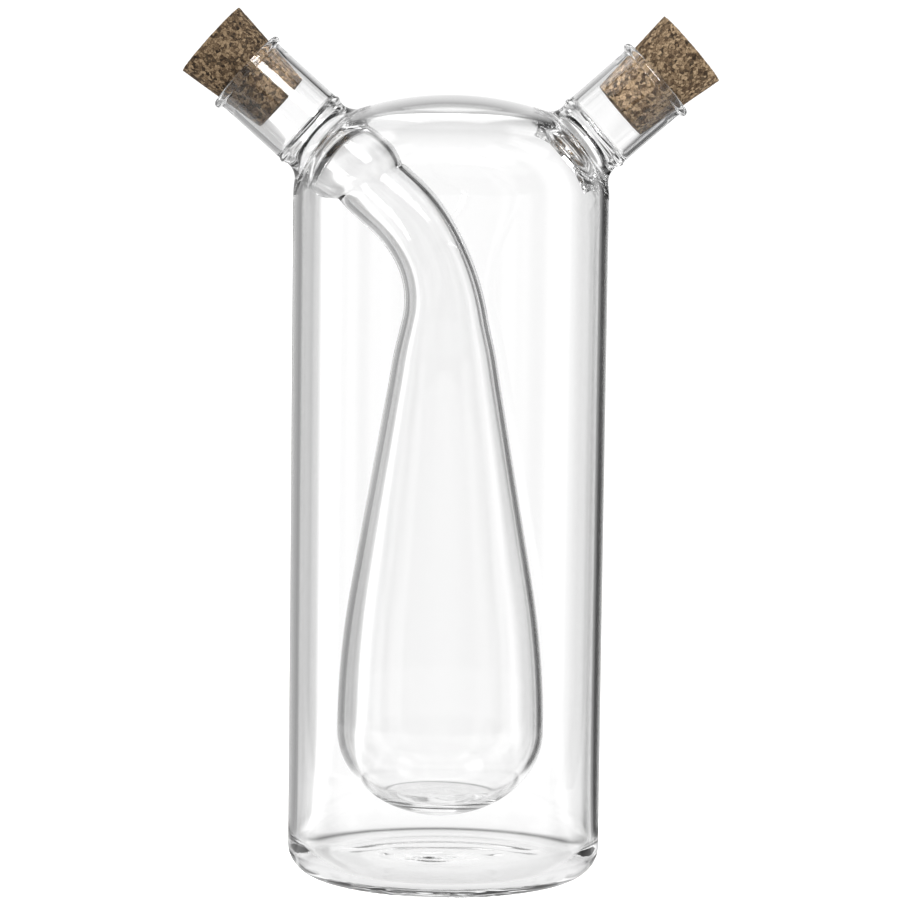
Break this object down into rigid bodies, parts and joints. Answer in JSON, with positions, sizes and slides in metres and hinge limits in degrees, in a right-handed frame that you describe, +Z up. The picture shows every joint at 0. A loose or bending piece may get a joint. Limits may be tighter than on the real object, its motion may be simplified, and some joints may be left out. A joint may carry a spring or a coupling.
{
  "type": "oil and vinegar cruet",
  "caption": "Tall clear glass cruet: a round bottle with a teardrop flask sealed inside it and a corked neck leaning out at each side, for oil and for vinegar.",
  "frame": {"origin": "on the axis of the bottle, in the plane that its foot stands on", "axes": "+Z up along the bottle; the necks lean out along -X (vinegar) and +X (oil); -Y is the front"},
  "size_m": [0.1184, 0.07, 0.1926],
  "materials": {
    "glass": "clear polished",
    "cork_dark": "agglomerated cork",
    "cork_light": "agglomerated cork"
  },
  "bodies": {
    "vessel": {"glass_vessel": "glass"},
    "vinegar_stopper": {"vinegar_cork": "cork_dark"},
    "oil_stopper": {"oil_cork": "cork_light"}
  },
  "joints": [
    {"name": "vinegar_cork_pull", "type": "slide", "parent": "vessel", "child": "vinegar_stopper", "axis": [-0.749, 0, 0.6626], "range_m": [0, 0.03]},
    {"name": "oil_cork_pull", "type": "slide", "parent": "vessel", "child": "oil_stopper", "axis": [0.749, 0, 0.6626], "range_m": [0, 0.03]}
  ]
}
